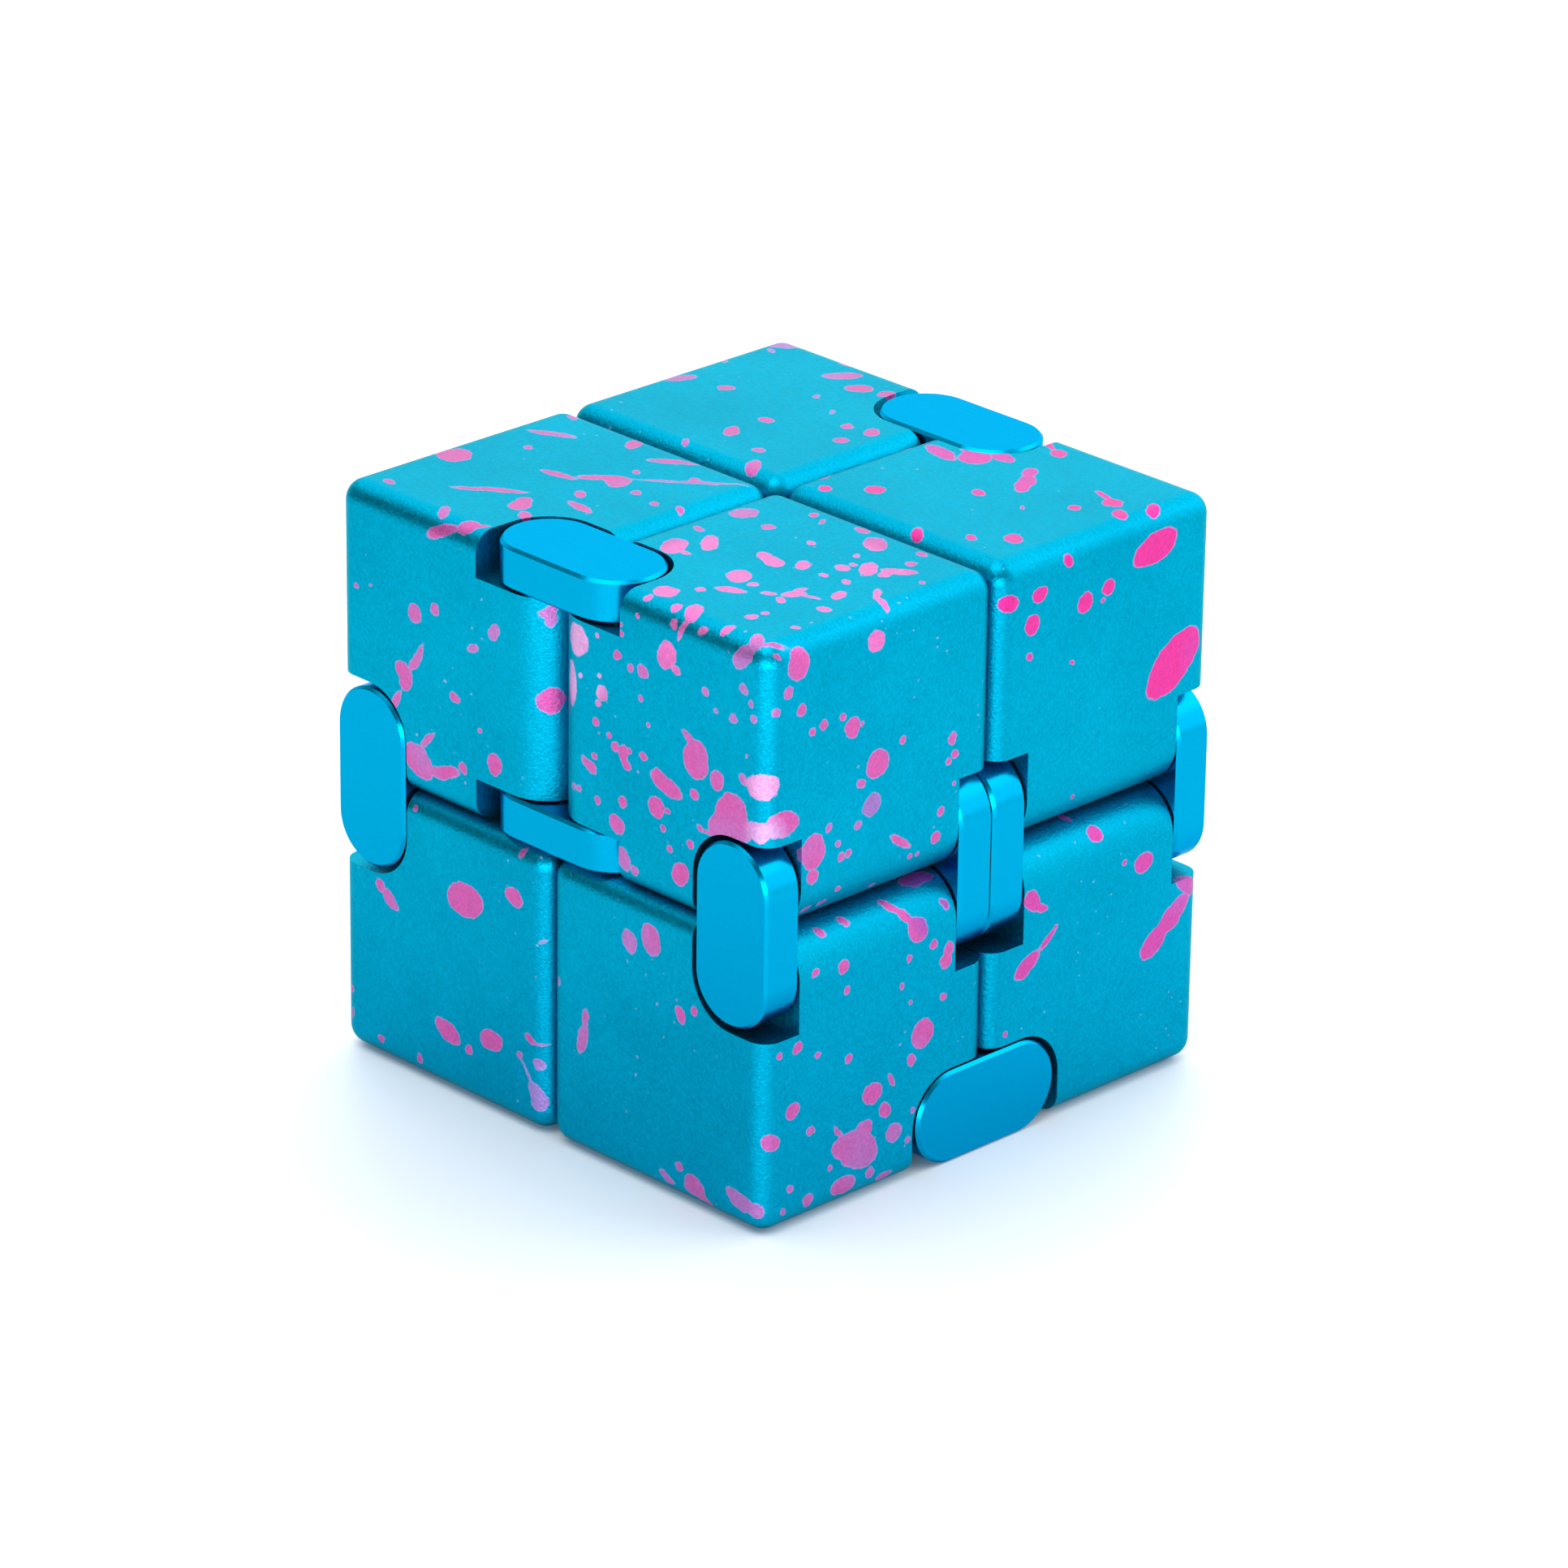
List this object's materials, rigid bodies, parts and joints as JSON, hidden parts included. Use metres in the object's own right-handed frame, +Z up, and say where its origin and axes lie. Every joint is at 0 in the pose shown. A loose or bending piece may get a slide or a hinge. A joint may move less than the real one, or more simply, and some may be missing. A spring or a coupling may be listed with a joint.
{
  "type": "folding cube fidget toy",
  "caption": "Pocket-size folding cube puzzle: small splatter-anodised metal cubes chained in a loop by double-pivot link hinges, shown closed.",
  "frame": {"origin": "centre of the closed cube on the surface it rests on", "axes": "+Z up; -Y is the face with the upright front hinge; +X and -X are the faces with two hinges each"},
  "size_m": [0.04, 0.04, 0.0399],
  "materials": {
    "cube_finish": "bead-blasted turquoise anodising with pink splatter",
    "link_finish": "fine-brushed azure anodising with polished chamfers",
    "pin_steel": "ground"
  },
  "bodies": {
    "cube_top_front_left": {"cube_top_front_left": "cube_finish", "pin_front_left": "pin_steel"},
    "cube_top_front_right": {"cube_top_front_right": "cube_finish"},
    "cube_top_back_left": {"cube_top_back_left": "cube_finish"},
    "cube_top_back_right": {"cube_top_back_right": "cube_finish"},
    "cube_bottom_front_left": {"cube_bottom_front_left": "cube_finish"},
    "cube_bottom_front_right": {"cube_bottom_front_right": "cube_finish"},
    "cube_bottom_back_left": {"cube_bottom_back_left": "cube_finish"},
    "cube_bottom_back_right": {"cube_bottom_back_right": "cube_finish"},
    "link_front": {"plate_front_outer": "link_finish", "plate_front_inner": "link_finish", "pin_front_right": "pin_steel"},
    "link_back": {"plate_back_outer": "link_finish", "plate_back_inner": "link_finish", "pin_back_left": "pin_steel", "pin_back_right": "pin_steel"},
    "link_right_front": {"plate_right_front_outer": "link_finish", "plate_right_front_inner": "link_finish", "pin_right_front_upper": "pin_steel", "pin_right_front_lower": "pin_steel"},
    "link_right_back": {"plate_right_back_outer": "link_finish", "plate_right_back_inner": "link_finish", "pin_right_back_lower": "pin_steel", "pin_right_back_upper": "pin_steel"},
    "link_left_front": {"plate_left_front_outer": "link_finish", "plate_left_front_inner": "link_finish", "pin_left_front_lower": "pin_steel", "pin_left_front_upper": "pin_steel"},
    "link_left_back": {"plate_left_back_outer": "link_finish", "plate_left_back_inner": "link_finish", "pin_left_back_upper": "pin_steel", "pin_left_back_lower": "pin_steel"},
    "link_bottom_right": {"plate_bottom_right_outer": "link_finish", "plate_bottom_right_inner": "link_finish", "pin_bottom_right_back": "pin_steel", "pin_bottom_right_front": "pin_steel"},
    "link_bottom_left": {"plate_bottom_left_outer": "link_finish", "plate_bottom_left_inner": "link_finish", "pin_bottom_left_front": "pin_steel", "pin_bottom_left_back": "pin_steel"}
  },
  "joints": [
    {"name": "right_front_upper", "type": "hinge", "parent": "cube_top_front_right", "child": "link_right_front", "pos_m": [0.0168, -0.01, 0.0232], "axis": [0, -1, 0], "range_deg": [0, 90]},
    {"name": "right_front_lower", "type": "hinge", "parent": "link_right_front", "child": "cube_bottom_front_right", "pos_m": [0.0168, -0.01, 0.0168], "axis": [0, -1, 0], "range_deg": [0, 90]},
    {"name": "bottom_right_front", "type": "hinge", "parent": "cube_bottom_front_right", "child": "link_bottom_right", "pos_m": [0.01, -0.0032, 0.0032], "axis": [-1, 0, 0], "range_deg": [0, 90]},
    {"name": "bottom_right_back", "type": "hinge", "parent": "link_bottom_right", "child": "cube_bottom_back_right", "pos_m": [0.01, 0.0032, 0.0032], "axis": [-1, 0, 0], "range_deg": [0, 90]},
    {"name": "right_back_lower", "type": "hinge", "parent": "cube_bottom_back_right", "child": "link_right_back", "pos_m": [0.0168, 0.01, 0.0168], "axis": [0, 1, 0], "range_deg": [0, 90]},
    {"name": "right_back_upper", "type": "hinge", "parent": "link_right_back", "child": "cube_top_back_right", "pos_m": [0.0168, 0.01, 0.0232], "axis": [0, 1, 0], "range_deg": [0, 90]},
    {"name": "back_right", "type": "hinge", "parent": "cube_top_back_right", "child": "link_back", "pos_m": [0.0032, 0.0168, 0.03], "axis": [0, 0, -1], "range_deg": [0, 90]},
    {"name": "back_left", "type": "hinge", "parent": "link_back", "child": "cube_top_back_left", "pos_m": [-0.0032, 0.0168, 0.03], "axis": [0, 0, -1], "range_deg": [0, 90]},
    {"name": "left_back_upper", "type": "hinge", "parent": "cube_top_back_left", "child": "link_left_back", "pos_m": [-0.0168, 0.01, 0.0232], "axis": [0, 1, 0], "range_deg": [0, 90]},
    {"name": "left_back_lower", "type": "hinge", "parent": "link_left_back", "child": "cube_bottom_back_left", "pos_m": [-0.0168, 0.01, 0.0168], "axis": [0, 1, 0], "range_deg": [0, 90]},
    {"name": "bottom_left_back", "type": "hinge", "parent": "cube_bottom_back_left", "child": "link_bottom_left", "pos_m": [-0.01, 0.0032, 0.0032], "axis": [1, 0, 0], "range_deg": [0, 90]},
    {"name": "bottom_left_front", "type": "hinge", "parent": "link_bottom_left", "child": "cube_bottom_front_left", "pos_m": [-0.01, -0.0032, 0.0032], "axis": [1, 0, 0], "range_deg": [0, 90]},
    {"name": "left_front_lower", "type": "hinge", "parent": "cube_bottom_front_left", "child": "link_left_front", "pos_m": [-0.0168, -0.01, 0.0168], "axis": [0, -1, 0], "range_deg": [0, 90]},
    {"name": "left_front_upper", "type": "hinge", "parent": "link_left_front", "child": "cube_top_front_left", "pos_m": [-0.0168, -0.01, 0.0232], "axis": [0, -1, 0], "range_deg": [0, 90]},
    {"name": "front_right", "type": "hinge", "parent": "cube_top_front_right", "child": "link_front", "pos_m": [0.0032, -0.0168, 0.03], "axis": [0, 0, 1], "range_deg": [0, 90]}
  ],
  "couplings": [
    {"joint": "right_back_lower", "follows": "right_front_lower", "ratio": 1},
    {"joint": "right_back_upper", "follows": "right_front_upper", "ratio": 1},
    {"joint": "bottom_left_back", "follows": "bottom_right_back", "ratio": 1},
    {"joint": "bottom_left_front", "follows": "bottom_right_front", "ratio": 1},
    {"joint": "left_front_lower", "follows": "left_back_lower", "ratio": 1},
    {"joint": "left_front_upper", "follows": "left_back_upper", "ratio": 1},
    {"joint": "front_right", "follows": "back_right", "ratio": 1}
  ]
}
